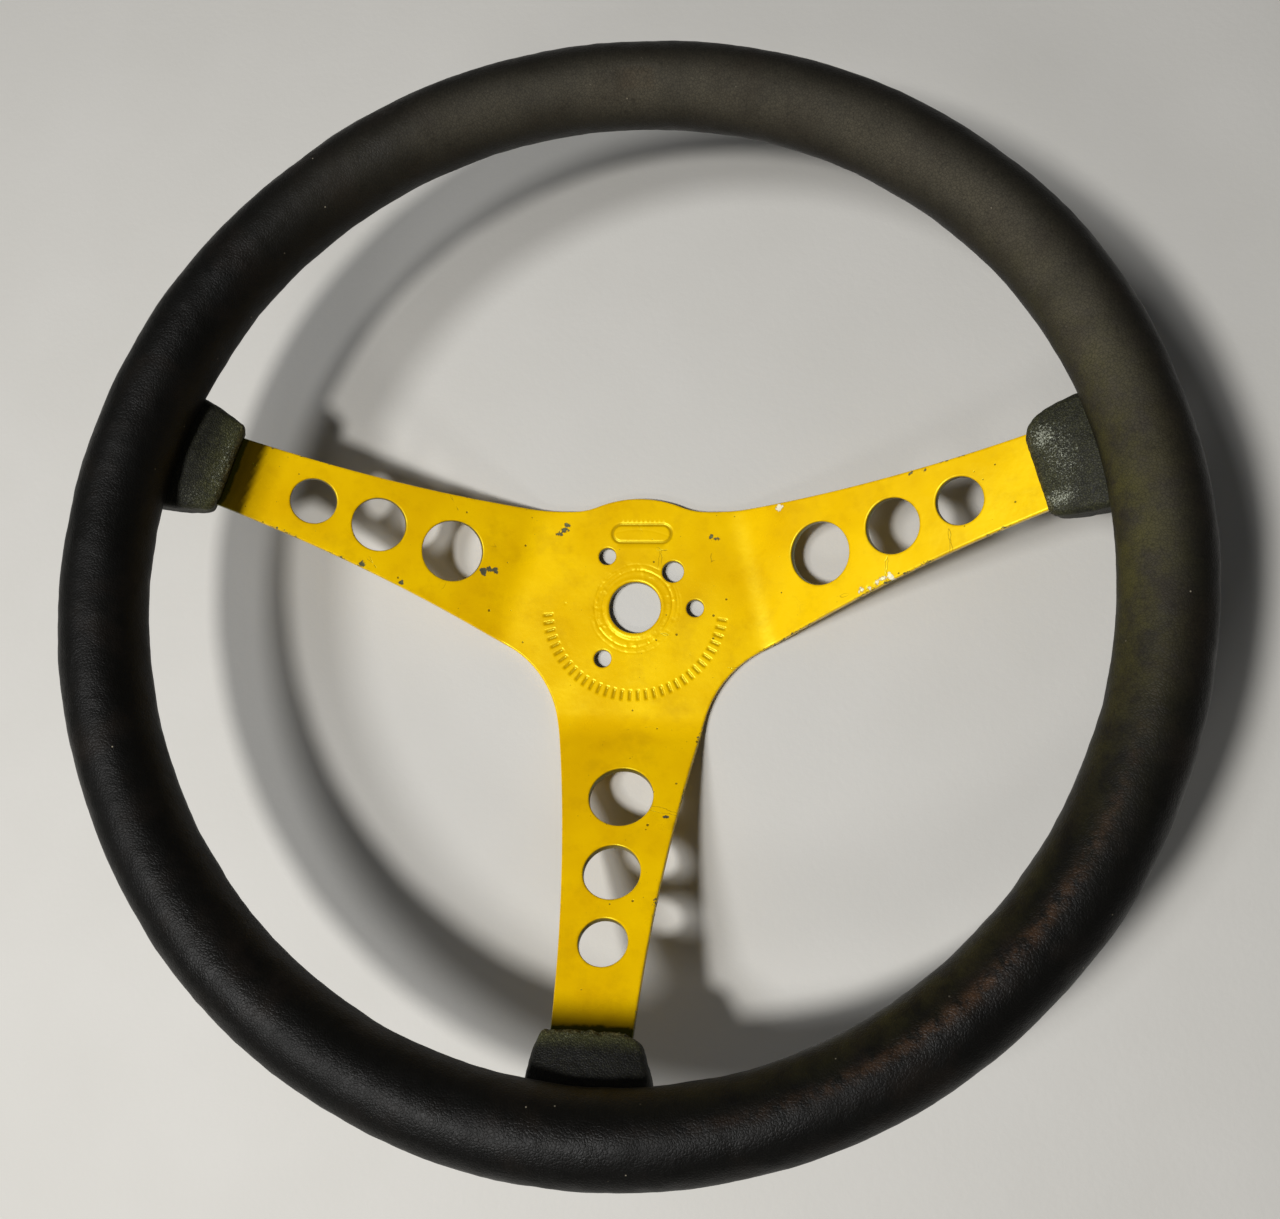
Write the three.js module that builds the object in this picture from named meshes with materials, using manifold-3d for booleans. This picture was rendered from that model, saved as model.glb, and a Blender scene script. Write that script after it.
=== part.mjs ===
// A three-spoke steering wheel: a dished steel spoke plate welded under a steel hoop,
// a moulded foam grip round the hoop, and a rubber boot where each spoke enters the grip.
// Millimetres, +Z up. The origin is the centre of the hub's flat back face, +Z points at the
// driver, and +Y points at the top of the wheel.
import * as THREE from "three";
import { mergeVertices } from "three/addons/utils/BufferGeometryUtils.js";
import Module from "manifold-3d";

// Driving dimensions
const WHEEL_DIAMETER = 355.6; // 14 in over the grip
const GRIP_RADIAL_HALF = 13.4; // half the grip's thickness across the wheel
const GRIP_AXIAL_HALF = 13.7; // half the grip's thickness along the column
const HOOP_RADIUS = 6.35; // half of a 1/2 in rod
const PLATE_THICKNESS = 3;
const SPOKE_SLOPE = THREE.MathUtils.degToRad(27.35);
const SPOKE_ANGLES = { right: 15, left: 165, bottom: 270 }; // degrees from +X
const BEND_START = 44.35; // from the axis to where a sharp bend's top faces would meet
const BEND_RADIUS = 20; // of the bent plate's top face
const TIP_PAST_HOOP = 5; // the spoke's tip runs this far past where it touches the hoop
const SPOKE_EDGE_RADIUS = 520; // the spoke's long edges are shallow arcs
const SPOKE_NARROW_HALF = 12.1; // half the width where those arcs are narrowest
const SPOKE_WIDENING = 1.2; // how much wider each side is at the boot's face
const HUB_BULGE_RADIUS = 41.5; // the hub's round top edge, between the two upper spokes
const LOWER_FILLET_RADIUS = 39; // between an upper spoke and the bottom spoke
const UPPER_FILLET_RADIUS = 25; // between an upper spoke and the hub's bulge
const BORE_RADIUS = 9.525; // 3/4 in hole for the column's boss
const BOLT_CIRCLE_RADIUS = 22.225; // 1-3/4 in bolt circle
const BOLT_HOLE_RADIUS = 3.15;
const BOLT_ANGLES = [0, 120, 240];
const LEAD_HOLE = { radius: 3.97, distance: 19.25, angle: 45 }; // lets the horn's wire through
const SPOKE_HOLES = [
  { distance: 72, radius: 11.1 }, // 7/8 in, distances measured along the spoke
  { distance: 100, radius: 9.525 }, // 3/4 in
  { distance: 124, radius: 7.94 }, // 5/8 in
];
const BOOT_START = 109; // along the spoke's slope, from the bend to the boot's face
const BOOT_LENGTH = 31;
const BOOT_START_HALF = 15.6; // half the boot's width at its face
const BOOT_FLARE_LENGTH = 14; // where the boot reaches its full width
const BOOT_FULL_HALF = 20.8;
const BOOT_CORNER = 3;
const BOOT_ABOVE_PLATE = 5;
const BOOT_BELOW_PLATE = 4.6;
const GAP = 0.3; // clearance kept between touching pieces
const WELD_LENGTH = 20; // along the hoop, centred on the spoke
const WELD_LEG = 4.2; // height of a fillet weld's triangle
const WELD_REACH = 7; // from the line of contact to the weld's toe
const HOOP_JOINT_ANGLE = 90; // the rod's two ends meet at the top of the wheel
const HOOP_JOINT_WIDTH = 8;
const HOOP_JOINT_HEIGHT = 1.2; // how far the bead stands proud of the rod

// Worked out from them
const HOOP_RING_RADIUS = WHEEL_DIAMETER / 2 - GRIP_RADIAL_HALF;
const HOOP_CLEAR_RADIUS = HOOP_RADIUS + GAP;
const SLOPE_COS = Math.cos(SPOKE_SLOPE);
const SLOPE_SIN = Math.sin(SPOKE_SLOPE);
// The hoop lies on the spokes' top faces, so they set how far it stands off the hub.
const DISH =
  PLATE_THICKNESS +
  ((HOOP_RING_RADIUS - BEND_START) * SLOPE_SIN + HOOP_CLEAR_RADIUS) / SLOPE_COS;
// Where the hoop touches the spoke, measured along the slope from the bend.
const CONTACT =
  (HOOP_RING_RADIUS - BEND_START) * SLOPE_COS + (DISH - PLATE_THICKNESS) * SLOPE_SIN;
const SPOKE_TIP = CONTACT + TIP_PAST_HOOP; // along the slope from the bend
// The flat outline runs a little past the tip, which the side view ends squarely.
const OUTLINE_END = BEND_START + SPOKE_TIP * SLOPE_COS + PLATE_THICKNESS;

// Facets
const RING_STEPS = 72;
const GRIP_STEPS = 20;
const HOOP_STEPS = 10;
const HOLE_STEPS = 32;
const BEND_STEPS = 6;
const EDGE_STEPS = 8;
const FILLET_STEPS = 5;
const BOOT_CORNER_STEPS = 4;

const wasm = await Module();
wasm.setup();

// A closed three.js geometry as a solid, with the vertices it shares merged.
function solid(geometry) {
  const bare = geometry.clone();
  bare.deleteAttribute("normal");
  bare.deleteAttribute("uv");
  const merged = mergeVertices(bare, 1e-4);
  return new wasm.Manifold(
    new wasm.Mesh({
      numProp: 3,
      vertProperties: new Float32Array(merged.attributes.position.array),
      triVerts: new Uint32Array(merged.index.array),
    }),
  );
}

// A solid as a three.js geometry with flat-shaded normals.
function geometryOf(made) {
  const mesh = made.getMesh();
  const indexed = new THREE.BufferGeometry()
    .setAttribute("position", new THREE.BufferAttribute(mesh.vertProperties, 3))
    .setIndex(new THREE.BufferAttribute(mesh.triVerts, 1));
  const flat = indexed.toNonIndexed();
  flat.computeVertexNormals();
  return flat;
}

// A named part with its own material.
function part(name, made, look) {
  const mesh = new THREE.Mesh(geometryOf(made), new THREE.MeshStandardMaterial(look));
  mesh.name = name;
  return mesh;
}

const LOOKS = {
  paint: { color: 0xe6b400, roughness: 0.35, metalness: 0 },
  foam: { color: 0x1e1d1b, roughness: 0.85, metalness: 0 },
  boot: { color: 0x23241c, roughness: 0.7, metalness: 0 },
  steel: { color: 0x77756f, roughness: 0.5, metalness: 1 },
  weld: { color: 0x5c5650, roughness: 0.6, metalness: 1 },
};

// A prism of a flat outline, standing on z = low and reaching z = high.
function prism(outline, low, high, curveSegments = HOLE_STEPS) {
  const geometry = new THREE.ExtrudeGeometry(outline, {
    depth: high - low,
    bevelEnabled: false,
    curveSegments,
  });
  return solid(geometry.translate(0, 0, low));
}

// A round bar along the local Z axis, from z = low to z = high.
function bar(radius, low, high) {
  const geometry = new THREE.CylinderGeometry(radius, radius, high - low, HOLE_STEPS);
  return solid(geometry.rotateX(Math.PI / 2).translate(0, 0, (low + high) / 2));
}

// A ring round the wheel's axis whose section is an ellipse centred on the hoop.
function ring(radialHalf, axialHalf, steps) {
  const section = [];
  for (let i = 0; i <= steps; i++) {
    const turn = (2 * Math.PI * (i % steps)) / steps;
    const across = HOOP_RING_RADIUS + radialHalf * Math.cos(turn);
    section.push(new THREE.Vector2(across, axialHalf * Math.sin(turn)));
  }
  const geometry = new THREE.LatheGeometry(section, RING_STEPS);
  return solid(geometry.rotateX(Math.PI / 2).translate(0, 0, DISH));
}

// The matrix that turns a piece drawn along +X to lie along a spoke.
function alongSpoke(name) {
  return new THREE.Matrix4().makeRotationZ(THREE.MathUtils.degToRad(SPOKE_ANGLES[name]));
}

// A solid moved by a three.js matrix.
function moved(made, matrix) {
  return made.transform(matrix.elements);
}

// Outline of the plate, seen along the axis

// The point that lies at two given distances from two given centres, on the left of the
// line from the first centre to the second.
function meetingPoint(first, firstDistance, second, secondDistance) {
  const line = second.clone().sub(first);
  const apart = line.length();
  const along = (firstDistance ** 2 - secondDistance ** 2 + apart ** 2) / (2 * apart);
  const aside = Math.sqrt(firstDistance ** 2 - along ** 2);
  const unit = line.normalize();
  const left = new THREE.Vector2(-unit.y, unit.x);
  return first.clone().addScaledVector(unit, along).addScaledVector(left, aside);
}

// Turns a flat point about the axis.
function turned(x, y, degrees) {
  return new THREE.Vector2(x, y).rotateAround(
    new THREE.Vector2(0, 0),
    THREE.MathUtils.degToRad(degrees),
  );
}

// Where a line from one centre through another leaves the first one's circle.
function touchPoint(centre, radius, through) {
  return centre.clone().addScaledVector(through.clone().sub(centre).normalize(), radius);
}

// Points along an arc from one point to another the short way round, without the last.
function arcPoints(centre, from, to, steps) {
  const start = from.clone().sub(centre);
  const sweep = Math.atan2(
    start.cross(to.clone().sub(centre)),
    start.dot(to.clone().sub(centre)),
  );
  const points = [];
  for (let i = 0; i < steps; i++) {
    points.push(from.clone().rotateAround(centre, (sweep * i) / steps));
  }
  return points;
}

// The right half of the outline, from the bottom spoke's tip round to the top of the hub.
// Each arc touches the next one, so an arc ends where the line of two centres crosses it.
function rightHalfOutline() {
  const hub = new THREE.Vector2(0, 0);
  const edgeCentre = SPOKE_EDGE_RADIUS + SPOKE_NARROW_HALF;
  const bottomEdge = turned(HOOP_RING_RADIUS, edgeCentre, SPOKE_ANGLES.bottom);
  const lowerEdge = turned(HOOP_RING_RADIUS, -edgeCentre, SPOKE_ANGLES.right);
  const upperEdge = turned(HOOP_RING_RADIUS, edgeCentre, SPOKE_ANGLES.right);
  const tip = (side, angle) => turned(OUTLINE_END, side * SPOKE_NARROW_HALF, angle);

  const insideEdge = SPOKE_EDGE_RADIUS - LOWER_FILLET_RADIUS;
  const lowerFillet = meetingPoint(lowerEdge, insideEdge, bottomEdge, insideEdge);
  const upperFillet = meetingPoint(
    upperEdge,
    SPOKE_EDGE_RADIUS - UPPER_FILLET_RADIUS,
    hub,
    HUB_BULGE_RADIUS + UPPER_FILLET_RADIUS,
  );
  const bottomTouch = touchPoint(bottomEdge, SPOKE_EDGE_RADIUS, lowerFillet);
  const lowerTouch = touchPoint(lowerEdge, SPOKE_EDGE_RADIUS, lowerFillet);
  const upperTouch = touchPoint(upperEdge, SPOKE_EDGE_RADIUS, upperFillet);
  const bulgeTouch = touchPoint(hub, HUB_BULGE_RADIUS, upperFillet);
  const hubTop = new THREE.Vector2(0, HUB_BULGE_RADIUS);

  return [
    ...arcPoints(bottomEdge, tip(1, SPOKE_ANGLES.bottom), bottomTouch, EDGE_STEPS),
    ...arcPoints(lowerFillet, bottomTouch, lowerTouch, EDGE_STEPS),
    ...arcPoints(lowerEdge, lowerTouch, tip(-1, SPOKE_ANGLES.right), EDGE_STEPS),
    tip(-1, SPOKE_ANGLES.right),
    ...arcPoints(upperEdge, tip(1, SPOKE_ANGLES.right), upperTouch, EDGE_STEPS),
    ...arcPoints(upperFillet, upperTouch, bulgeTouch, FILLET_STEPS),
    ...arcPoints(hub, bulgeTouch, hubTop, FILLET_STEPS),
  ];
}

function plateOutline() {
  const right = rightHalfOutline();
  const left = right.map((point) => new THREE.Vector2(-point.x, point.y)).reverse();
  return new THREE.Shape([...right, new THREE.Vector2(0, HUB_BULGE_RADIUS), ...left]);
}

// The spoke plate

const BEND_TANGENT = BEND_RADIUS * Math.tan(SPOKE_SLOPE / 2); // from sharp corner to arc's end
const BEND_CENTRE = new THREE.Vector2(BEND_START - BEND_TANGENT, PLATE_THICKNESS + BEND_RADIUS);

// A point of the bend: radius from the bend's centre, turn from straight down.
function bendPoint(radius, turn) {
  return new THREE.Vector2(
    BEND_CENTRE.x + radius * Math.sin(turn),
    BEND_CENTRE.y - radius * Math.cos(turn),
  );
}

// One spoke's side view, from the flat hub through the bend to the tip, as a slab along +X
// that is wider than the spoke.
function bentSlab() {
  const halfWidth = 1.4 * HUB_BULGE_RADIUS;
  const start = BEND_CENTRE.x - 1;
  const top = [];
  const underside = [];
  for (let i = 0; i <= BEND_STEPS; i++) {
    const turn = (SPOKE_SLOPE * i) / BEND_STEPS;
    top.push(bendPoint(BEND_RADIUS, turn));
    underside.push(bendPoint(BEND_RADIUS + PLATE_THICKNESS, turn));
  }
  const straight = SPOKE_TIP - BEND_TANGENT;
  const run = new THREE.Vector2(SLOPE_COS, SLOPE_SIN).multiplyScalar(straight);
  const profile = new THREE.Shape([
    new THREE.Vector2(start, PLATE_THICKNESS),
    new THREE.Vector2(start, 0),
    ...underside,
    underside[BEND_STEPS].clone().add(run),
    top[BEND_STEPS].clone().add(run),
    ...top.reverse(),
  ]);
  const geometry = new THREE.ExtrudeGeometry(profile, {
    depth: 2 * halfWidth,
    bevelEnabled: false,
  });
  return solid(geometry.rotateX(Math.PI / 2).translate(0, halfWidth, 0));
}

// The frame of a spoke's sloping top face: origin at the sharp bend, +X along the slope.
function onSlope(name) {
  return alongSpoke(name)
    .multiply(new THREE.Matrix4().makeTranslation(BEND_START, 0, PLATE_THICKNESS))
    .multiply(new THREE.Matrix4().makeRotationY(-SPOKE_SLOPE));
}

// The hub's flat area: the triangle between the three lines where the bends start.
function hubFlat() {
  const angles = [SPOKE_ANGLES.right, SPOKE_ANGLES.left, SPOKE_ANGLES.bottom];
  const corners = angles.map((angle, i) => {
    const next = i + 1 < angles.length ? angles[i + 1] : angles[0] + 360;
    const half = THREE.MathUtils.degToRad((next - angle) / 2);
    return turned(BEND_CENTRE.x / Math.cos(half), 0, (angle + next) / 2);
  });
  return prism(new THREE.Shape(corners), 0, PLATE_THICKNESS);
}

// A hole through the flat hub.
function hubHole(radius, distance, angle) {
  const centre = turned(distance, 0, angle);
  return bar(radius, -PLATE_THICKNESS, 2 * PLATE_THICKNESS).translate(centre.x, centre.y, 0);
}

function spokePlate() {
  const names = Object.keys(SPOKE_ANGLES);
  const outline = prism(plateOutline(), -1, DISH + HOOP_RADIUS);
  const slabs = names.map((name) => moved(bentSlab(), alongSpoke(name)));
  const hubHoles = [
    hubHole(BORE_RADIUS, 0, 0),
    ...BOLT_ANGLES.map((angle) => hubHole(BOLT_HOLE_RADIUS, BOLT_CIRCLE_RADIUS, angle)),
    hubHole(LEAD_HOLE.radius, LEAD_HOLE.distance, LEAD_HOLE.angle),
  ];
  const spokeHoles = names.flatMap((name) =>
    SPOKE_HOLES.map((hole) => {
      const cutter = bar(hole.radius, -2 * PLATE_THICKNESS, PLATE_THICKNESS);
      return moved(cutter.translate(hole.distance - BEND_START, 0, 0), onSlope(name));
    }),
  );
  const blank = slabs.reduce((sum, slab) => sum.add(slab), hubFlat()).intersect(outline);
  return [...hubHoles, ...spokeHoles].reduce((kept, hole) => kept.subtract(hole), blank);
}

// The hoop, its joint and the welds

// A short bar round the hoop where its ends meet.
function roundHoopJoint(radius, width) {
  const angle = THREE.MathUtils.degToRad(HOOP_JOINT_ANGLE);
  const place = new THREE.Matrix4()
    .makeRotationZ(angle)
    .multiply(new THREE.Matrix4().makeTranslation(HOOP_RING_RADIUS, 0, DISH))
    .multiply(new THREE.Matrix4().makeRotationX(Math.PI / 2));
  return moved(bar(radius, -width / 2, width / 2), place);
}

// A fillet weld between the spoke's top face and the hoop, in the slope's frame: side is -1
// for the hub's side of the line where they touch, and 1 for the tip's side.
function filletWeld(side, reach) {
  const crown = GAP + WELD_LEG;
  const root = HOOP_RADIUS * 0.4;
  const corners = [
    new THREE.Vector2(side * reach, GAP),
    new THREE.Vector2(side * HOOP_CLEAR_RADIUS, crown),
    new THREE.Vector2(side * root, crown),
    new THREE.Vector2(side * root, GAP),
  ];
  const geometry = new THREE.ExtrudeGeometry(new THREE.Shape(corners), {
    depth: WELD_LENGTH,
    bevelEnabled: false,
  });
  return solid(geometry.rotateX(Math.PI / 2).translate(CONTACT, WELD_LENGTH / 2, 0));
}

// The boots and the grip

// A boot seen square to the spoke's face: it widens from its face to its full width, and the
// corners of its face are round.
function bootOutline() {
  const end = BOOT_START + BOOT_LENGTH;
  const flare = BOOT_START + BOOT_FLARE_LENGTH;
  const side = BOOT_START_HALF;
  const shape = new THREE.Shape();
  shape.moveTo(end, -BOOT_FULL_HALF);
  shape.lineTo(end, BOOT_FULL_HALF);
  shape.lineTo(flare, BOOT_FULL_HALF);
  shape.lineTo(BOOT_START + BOOT_CORNER, side);
  shape.quadraticCurveTo(BOOT_START, side, BOOT_START, side - BOOT_CORNER);
  shape.lineTo(BOOT_START, BOOT_CORNER - side);
  shape.quadraticCurveTo(BOOT_START, -side, BOOT_START + BOOT_CORNER, -side);
  shape.lineTo(flare, -BOOT_FULL_HALF);
  return shape;
}

// The room that the spoke's tip and its two welds take up, in the slope's frame.
function spokeRoom() {
  const length = BOOT_LENGTH + 4 * BOOT_CORNER;
  const width = 2 * (SPOKE_NARROW_HALF + SPOKE_WIDENING + GAP);
  const slot = new THREE.BoxGeometry(length, width, PLATE_THICKNESS + 2 * GAP);
  slot.translate(SPOKE_TIP + GAP - length / 2, 0, -PLATE_THICKNESS / 2);
  const height = WELD_LEG + 3 * GAP;
  const pocket = new THREE.BoxGeometry(2 * (WELD_REACH + GAP), WELD_LENGTH + 2 * GAP, height);
  pocket.translate(CONTACT, 0, height / 2);
  return solid(slot).add(solid(pocket));
}

function boot(slope, room) {
  const underside = -PLATE_THICKNESS - BOOT_BELOW_PLATE;
  const block = prism(bootOutline(), underside, BOOT_ABOVE_PLATE, BOOT_CORNER_STEPS);
  const gripRoom = ring(GRIP_RADIAL_HALF + GAP, GRIP_AXIAL_HALF + GAP, GRIP_STEPS);
  return moved(block, slope).subtract(gripRoom).subtract(room);
}

function buildWheel() {
  const wheel = new THREE.Group();
  const hoopRoom = ring(HOOP_CLEAR_RADIUS, HOOP_CLEAR_RADIUS, HOOP_STEPS);
  const beadRadius = HOOP_RADIUS + HOOP_JOINT_HEIGHT;
  const bead = roundHoopJoint(beadRadius, HOOP_JOINT_WIDTH).subtract(hoopRoom);
  const beadRoom = roundHoopJoint(beadRadius + GAP, HOOP_JOINT_WIDTH + 2 * GAP);
  let grip = ring(GRIP_RADIAL_HALF, GRIP_AXIAL_HALF, GRIP_STEPS);
  grip = grip.subtract(hoopRoom).subtract(beadRoom);

  wheel.add(part("spoke_plate", spokePlate(), LOOKS.paint));
  wheel.add(part("rim_hoop", ring(HOOP_RADIUS, HOOP_RADIUS, HOOP_STEPS), LOOKS.steel));
  wheel.add(part("hoop_joint", bead, LOOKS.weld));
  for (const name of Object.keys(SPOKE_ANGLES)) {
    const slope = onSlope(name);
    const room = moved(spokeRoom(), slope);
    const innerWeld = moved(filletWeld(-1, WELD_REACH), slope).subtract(hoopRoom);
    const outerWeld = moved(filletWeld(1, TIP_PAST_HOOP), slope).subtract(hoopRoom);
    wheel.add(part("weld_" + name + "_inner", innerWeld, LOOKS.weld));
    wheel.add(part("weld_" + name + "_outer", outerWeld, LOOKS.weld));
    wheel.add(part("boot_" + name, boot(slope, room), LOOKS.boot));
    grip = grip.subtract(room);
  }
  wheel.add(part("rim_grip", grip, LOOKS.foam));
  return wheel;
}

export default buildWheel();
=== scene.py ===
"""A worn aftermarket steering wheel lying on its hub: a dished yellow plate with three spokes,
a fat moulded foam grip, and a rubber boot where each spoke enters it.

Lengths are millimetres until a mesh or a node is made. A flat point is a complex number: the real
part is X and the imaginary part is Y, so multiplying by a unit number turns it about the axis.
"""

import cmath
import math

import bpy
import numpy as np
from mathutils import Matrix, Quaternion, Vector, noise
from mathutils.geometry import delaunay_2d_cdt


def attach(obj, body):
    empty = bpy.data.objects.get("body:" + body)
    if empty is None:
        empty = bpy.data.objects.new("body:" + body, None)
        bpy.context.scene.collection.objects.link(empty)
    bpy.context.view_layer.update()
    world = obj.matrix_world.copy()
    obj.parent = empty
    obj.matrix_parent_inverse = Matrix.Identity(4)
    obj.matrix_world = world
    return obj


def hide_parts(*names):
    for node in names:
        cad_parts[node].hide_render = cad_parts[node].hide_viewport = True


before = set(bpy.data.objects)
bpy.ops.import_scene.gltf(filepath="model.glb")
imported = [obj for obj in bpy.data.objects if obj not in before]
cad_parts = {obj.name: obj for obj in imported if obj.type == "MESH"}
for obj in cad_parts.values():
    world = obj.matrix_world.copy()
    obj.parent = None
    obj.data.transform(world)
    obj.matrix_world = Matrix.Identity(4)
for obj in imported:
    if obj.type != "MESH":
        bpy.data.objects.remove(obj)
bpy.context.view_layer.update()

MM = 0.001

# The wheel, as its CAD source has it
WHEEL_RADIUS = 177.8
GRIP_RADIAL_HALF = 13.4
GRIP_AXIAL_HALF = 13.7
HOOP_CLEAR_RADIUS = 6.65
PLATE_THICKNESS = 3.0
SPOKE_SLOPE = math.radians(27.35)
SPOKE_ANGLES = {"right": 15, "left": 165, "bottom": 270}
BEND_START = 44.35
BEND_RADIUS = 20.0
TIP_PAST_HOOP = 5.0
SPOKE_EDGE_RADIUS = 520.0
SPOKE_NARROW_HALF = 12.1
HUB_BULGE_RADIUS = 41.5
LOWER_FILLET_RADIUS = 39.0
UPPER_FILLET_RADIUS = 25.0
BORE_RADIUS = 9.525
BOLT_CIRCLE_RADIUS = 22.225
BOLT_HOLE_RADIUS = 3.15
BOLT_ANGLES = (0, 120, 240)
LEAD_HOLE = (3.97, 19.25, 45)  # radius, distance from the axis, angle
SPOKE_HOLES = ((11.1, 72), (9.525, 100), (7.94, 124))  # radius, distance along the spoke
BOOT_START = 109.0
BOOT_LENGTH = 31.0
BOOT_FLARE_LENGTH = 14.0
BOOT_FULL_HALF = 20.8
BOOT_ABOVE_PLATE = 5.0
BOOT_BELOW_PLATE = 4.6

# Worked out from them
RING_RADIUS = WHEEL_RADIUS - GRIP_RADIAL_HALF
SLOPE_COS = math.cos(SPOKE_SLOPE)
SLOPE_SIN = math.sin(SPOKE_SLOPE)
RISE_TO_HOOP = ((RING_RADIUS - BEND_START) * SLOPE_SIN + HOOP_CLEAR_RADIUS) / SLOPE_COS
DISH = PLATE_THICKNESS + RISE_TO_HOOP
CONTACT = (RING_RADIUS - BEND_START) * SLOPE_COS + RISE_TO_HOOP * SLOPE_SIN
BEND_TANGENT = BEND_RADIUS * math.tan(SPOKE_SLOPE / 2)
BEND_EDGE = BEND_START - BEND_TANGENT  # where the hub's flat ends
BEND_LENGTH = BEND_RADIUS * SPOKE_SLOPE  # along the bend's top face
SLOPE_START = BEND_EDGE + BEND_LENGTH - BEND_TANGENT  # on the blank, the zero of the spoke's slope
BLANK_TIP = SLOPE_START + CONTACT + TIP_PAST_HOOP

# Where each boot's face towards the hub lies along its spoke's slope
BOOT_FACE = {"right": BOOT_START - 3.2, "left": BOOT_START, "bottom": BOOT_START - 0.4}


def unit(degrees):
    """A flat unit vector."""
    return cmath.rect(1, math.radians(degrees))


def smooth(value, low, high):
    """0 below low, 1 above high, and a smooth step between them."""
    t = np.clip((np.asarray(value, float) - low) / (high - low), 0, 1)
    return t * t * (3 - 2 * t)


def bump_at(value, centre, width):
    """A bell of height 1 round a centre."""
    return np.exp(-(((np.asarray(value, float) - centre) / width) ** 2))


def lumps(points, size, seed):
    """Smooth noise of about -0.5 to 0.5 at each point, with lumps of about that size."""
    shift = Vector((17.3 * seed, -9.1 * seed, 5.7 * seed))
    return np.array([noise.noise(Vector(p) / size + shift) for p in points])


# --- Mesh helpers


def new_object(name, vertices, faces, attributes=None, material=None):
    """A smooth-shaded mesh object from vertices in millimetres."""
    mesh = bpy.data.meshes.new(name)
    places = (np.asarray(vertices, float) * MM).tolist()
    mesh.from_pydata(places, [], [list(map(int, f)) for f in faces])
    mesh.polygons.foreach_set("use_smooth", [True] * len(mesh.polygons))
    for key, values in (attributes or {}).items():
        layer = mesh.attributes.new(key, "FLOAT", "POINT")
        layer.data.foreach_set("value", np.asarray(values, np.float32))
    if material:
        mesh.materials.append(material)
    mesh.validate()
    mesh.update()
    obj = bpy.data.objects.new(name, mesh)
    bpy.context.scene.collection.objects.link(obj)
    return obj


# --- The plate's flat blank


def meeting_point(first, first_distance, second, second_distance):
    """The point at two given distances from two centres, left of the line between them."""
    apart = abs(second - first)
    along = (first_distance**2 - second_distance**2 + apart**2) / (2 * apart)
    aside = math.sqrt(first_distance**2 - along**2)
    return first + (second - first) / apart * complex(along, aside)


def touch_point(centre, radius, through):
    """Where a line from one centre through another leaves the first one's circle."""
    return centre + (through - centre) / abs(through - centre) * radius


def arc_points(centre, start, end, spacing):
    """Points along an arc the short way round, without the last."""
    sweep = cmath.phase((end - centre) / (start - centre))
    steps = max(3, round(abs(sweep * (start - centre)) / spacing))
    return [centre + (start - centre) * cmath.exp(1j * sweep * k / steps) for k in range(steps)]


def right_half_outline(spacing):
    """The right half of the plate seen along the axis, from the bottom spoke's tip to the top."""
    edge = SPOKE_EDGE_RADIUS + SPOKE_NARROW_HALF
    right, bottom = unit(SPOKE_ANGLES["right"]), unit(SPOKE_ANGLES["bottom"])
    bottom_edge = complex(RING_RADIUS, edge) * bottom
    lower_edge = complex(RING_RADIUS, -edge) * right
    upper_edge = complex(RING_RADIUS, edge) * right
    inside = SPOKE_EDGE_RADIUS - LOWER_FILLET_RADIUS
    lower_fillet = meeting_point(lower_edge, inside, bottom_edge, inside)
    upper_fillet = meeting_point(
        upper_edge,
        SPOKE_EDGE_RADIUS - UPPER_FILLET_RADIUS,
        0j,
        HUB_BULGE_RADIUS + UPPER_FILLET_RADIUS,
    )
    bottom_touch = touch_point(bottom_edge, SPOKE_EDGE_RADIUS, lower_fillet)
    lower_touch = touch_point(lower_edge, SPOKE_EDGE_RADIUS, lower_fillet)
    upper_touch = touch_point(upper_edge, SPOKE_EDGE_RADIUS, upper_fillet)
    bulge_touch = touch_point(0j, HUB_BULGE_RADIUS, upper_fillet)
    end = BEND_START + (CONTACT + TIP_PAST_HOOP) * SLOPE_COS
    half = edge - math.sqrt(SPOKE_EDGE_RADIUS**2 - (end - RING_RADIUS) ** 2)
    bottom_tip = complex(end, half) * bottom
    lower_tip = complex(end, -half) * right
    upper_tip = complex(end, half) * right
    return [
        *arc_points(bottom_edge, bottom_tip, bottom_touch, spacing),
        *arc_points(lower_fillet, bottom_touch, lower_touch, spacing),
        *arc_points(lower_edge, lower_touch, lower_tip, spacing),
        *arc_points(0j, lower_tip, upper_tip, spacing),
        *arc_points(upper_edge, upper_tip, upper_touch, spacing),
        *arc_points(upper_fillet, upper_touch, bulge_touch, spacing),
        *arc_points(0j, bulge_touch, complex(0, HUB_BULGE_RADIUS), spacing),
    ]


def unrolled(point):
    """A point of the outline seen along the axis, moved to where it lies on the flat blank."""
    for angle in SPOKE_ANGLES.values():
        local = point / unit(angle)
        past = local.real - BEND_EDGE
        if past <= 0:
            continue
        in_bend = BEND_RADIUS * SLOPE_SIN
        if past < in_bend:
            along = BEND_RADIUS * math.asin(past / BEND_RADIUS)
        else:
            along = BEND_LENGTH + (past - in_bend) / SLOPE_COS
        return complex(BEND_EDGE + along, local.imag) * unit(angle)
    return point


def blank_outline(spacing):
    right = right_half_outline(spacing)
    left = [complex(-p.real, p.imag) for p in reversed(right[1:])]
    bottom_tip = arc_points(0j, complex(-right[0].real, right[0].imag), right[0], spacing)
    loop = right + [complex(0, HUB_BULGE_RADIUS)] + left + bottom_tip
    return np.array([unrolled(p) for p in loop])


def circle(centre, radius, spacing):
    """A hole's loop, clockwise, so that the sheet lies on its left as on the outline's."""
    steps = max(24, round(2 * math.pi * radius / spacing))
    return centre + radius * np.exp(-2j * np.pi * np.arange(steps) / steps)


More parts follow.
